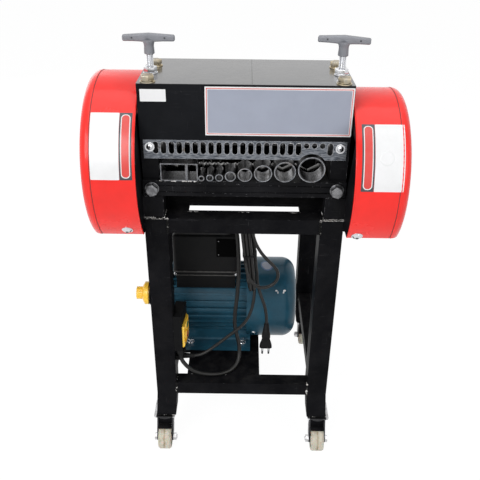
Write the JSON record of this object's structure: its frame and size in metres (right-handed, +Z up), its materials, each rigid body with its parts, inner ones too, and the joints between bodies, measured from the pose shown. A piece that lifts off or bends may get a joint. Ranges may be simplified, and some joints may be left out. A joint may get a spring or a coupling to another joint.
{
  "type": "electric cable stripping machine",
  "caption": "Motor-driven cable stripping machine with feed tubes, grooved rollers and slitting blades on a wheeled steel stand.",
  "frame": {"origin": "on the floor under the middle of the machine's box, cords left out", "axes": "+X to the operator's right, +Y to the back, +Z up"},
  "size_m": [0.524, 0.429, 0.84],
  "materials": {
    "black_frame": "semi-gloss black paint",
    "caster_steel": "black paint, bright at the rims",
    "nylon": "cream nylon",
    "dark_head": "black paint",
    "gloss_plate": "glossy black paint",
    "front_panel": "black paint under a plain pale blue panel",
    "zinc": "bright zinc plate",
    "dark_zinc": "blackened steel, worn bright at the mouths",
    "yellow_zinc": "yellow zinc plate",
    "black_handle": "black cast iron",
    "bright_steel": "turned and ground steel",
    "gear_steel": "cut gear steel, oiled",
    "bronze": "turned bronze",
    "cast_pulley": "cast iron, painted",
    "red_cover": "gloss red paint",
    "blue_motor": "blue enamel",
    "black_plastic": "black moulded plastic",
    "belt_rubber": "black rubber belt",
    "grey_box": "dark grey plastic",
    "yellow_plastic": "yellow plastic",
    "green_plastic": "green plastic",
    "red_plastic": "red plastic",
    "cord_rubber": "black cable sheath"
  },
  "bodies": {
    "stand": {"legs": "black_frame", "top_rails": "black_frame", "low_rails": "black_frame", "deck_plates": "black_frame", "cover_brackets": "black_frame", "caster_plates": "caster_steel", "rear_forks": "caster_steel", "head_posts": "dark_head", "left_side_frame": "dark_head", "right_side_frame": "dark_head", "tie_bars": "dark_head", "top_plate": "gloss_plate", "head_covers": "front_panel", "comb_plate": "zinc", "feed_guides": "dark_zinc", "frame_bolts": "yellow_zinc", "dome_screws": "bright_steel", "bushes": "bronze", "left_drum": "red_cover", "left_lid": "red_cover", "right_drum": "red_cover", "right_lid": "red_cover", "motor_body": "blue_motor", "end_shield": "blue_motor", "fan_cover": "blue_motor", "terminal_base": "black_plastic", "terminal_lid": "black_plastic", "glands": "black_plastic", "plug": "black_plastic", "belt": "belt_rubber", "switch_box": "grey_box", "switch_bezels": "yellow_plastic", "motor_cable": "cord_rubber", "mains_cord": "cord_rubber", "cord_hank": "cord_rubber"},
    "carriage": {"bearing_blocks": "gear_steel"},
    "left_t_handle": {"left_handle": "black_handle", "left_screw": "bright_steel"},
    "right_t_handle": {"right_handle": "black_handle", "right_screw": "bright_steel"},
    "blade_train": {"blade_shaft": "bright_steel", "blades": "bright_steel", "upper_gear": "gear_steel"},
    "roller_train": {"roller_shaft": "bright_steel", "feed_rollers": "bright_steel", "lower_gear": "gear_steel", "main_gear": "gear_steel"},
    "pinion_train": {"pinion_shaft": "bright_steel", "big_pulley": "cast_pulley"},
    "motor_rotor": {"rotor": "bright_steel", "motor_pulley": "cast_pulley"},
    "start_button": {"green_button": "green_plastic"},
    "stop_button": {"red_button": "red_plastic"},
    "selector": {"selector_knob": "yellow_plastic"},
    "left_swivel": {"left_fork": "caster_steel"},
    "right_swivel": {"right_fork": "caster_steel"},
    "left_wheel": {"front_left_wheel": "nylon"},
    "right_wheel": {"front_right_wheel": "nylon"},
    "rear_left_roll": {"rear_left_wheel": "nylon"},
    "rear_right_roll": {"rear_right_wheel": "nylon"}
  },
  "joints": [
    {"name": "blade_lift", "type": "slide", "parent": "stand", "child": "carriage", "axis": [0, 0, 1], "range_m": [0, 0.0035]},
    {"name": "left_handle_turn", "type": "hinge", "parent": "carriage", "child": "left_t_handle", "pos_m": [-0.155, -0.0865, 0.8], "axis": [0, 0, 1], "range_deg": [0, 720]},
    {"name": "right_handle_turn", "type": "hinge", "parent": "carriage", "child": "right_t_handle", "pos_m": [0.155, -0.0865, 0.8], "axis": [0, 0, 1], "range_deg": [0, 720]},
    {"name": "roller_spin", "type": "hinge", "parent": "stand", "child": "roller_train", "pos_m": [0, -0.0865, 0.59], "axis": [1, 0, 0], "continuous": true},
    {"name": "blade_spin", "type": "hinge", "parent": "carriage", "child": "blade_train", "pos_m": [0, -0.0865, 0.68], "axis": [1, 0, 0], "continuous": true},
    {"name": "pinion_spin", "type": "hinge", "parent": "stand", "child": "pinion_train", "pos_m": [-0.18, -0.02522, 0.64142], "axis": [1, 0, 0], "continuous": true},
    {"name": "motor_spin", "type": "hinge", "parent": "stand", "child": "motor_rotor", "pos_m": [-0.1, 0.0215, 0.264], "axis": [1, 0, 0], "continuous": true},
    {"name": "start_press", "type": "slide", "parent": "stand", "child": "start_button", "axis": [-0.9954, 0.0958, 0], "range_m": [0, 0.003], "stiffness_N_per_m": 400},
    {"name": "stop_press", "type": "slide", "parent": "stand", "child": "stop_button", "axis": [-0.9954, 0.0958, 0], "range_m": [0, 0.003], "stiffness_N_per_m": 400},
    {"name": "selector_turn", "type": "hinge", "parent": "stand", "child": "selector", "pos_m": [-0.185, -0.1345, 0.376], "axis": [-1, 0, 0], "range_deg": [-45, 45]},
    {"name": "left_caster_swivel", "type": "hinge", "parent": "stand", "child": "left_swivel", "pos_m": [-0.16034, -0.1345, 0.06], "axis": [0, 0, 1], "continuous": true},
    {"name": "right_caster_swivel", "type": "hinge", "parent": "stand", "child": "right_swivel", "pos_m": [0.16034, -0.1345, 0.06], "axis": [0, 0, 1], "continuous": true},
    {"name": "front_left_roll", "type": "hinge", "parent": "left_swivel", "child": "left_wheel", "pos_m": [-0.16034, -0.1615, 0.025], "axis": [1, 0, 0], "continuous": true},
    {"name": "front_right_roll", "type": "hinge", "parent": "right_swivel", "child": "right_wheel", "pos_m": [0.16034, -0.1615, 0.025], "axis": [1, 0, 0], "continuous": true},
    {"name": "rear_left_wheel_roll", "type": "hinge", "parent": "stand", "child": "rear_left_roll", "pos_m": [-0.16034, 0.1895, 0.025], "axis": [1, 0, 0], "continuous": true},
    {"name": "rear_right_wheel_roll", "type": "hinge", "parent": "stand", "child": "rear_right_roll", "pos_m": [0.16034, 0.1895, 0.025], "axis": [1, 0, 0], "continuous": true}
  ],
  "couplings": [
    {"joint": "left_handle_turn", "follows": "blade_lift", "rad_per_m": 3590.4},
    {"joint": "right_handle_turn", "follows": "blade_lift", "rad_per_m": 3590.4},
    {"joint": "blade_spin", "follows": "roller_spin", "ratio": -1},
    {"joint": "pinion_spin", "follows": "roller_spin", "ratio": -4},
    {"joint": "motor_spin", "follows": "roller_spin", "ratio": -8}
  ]
}
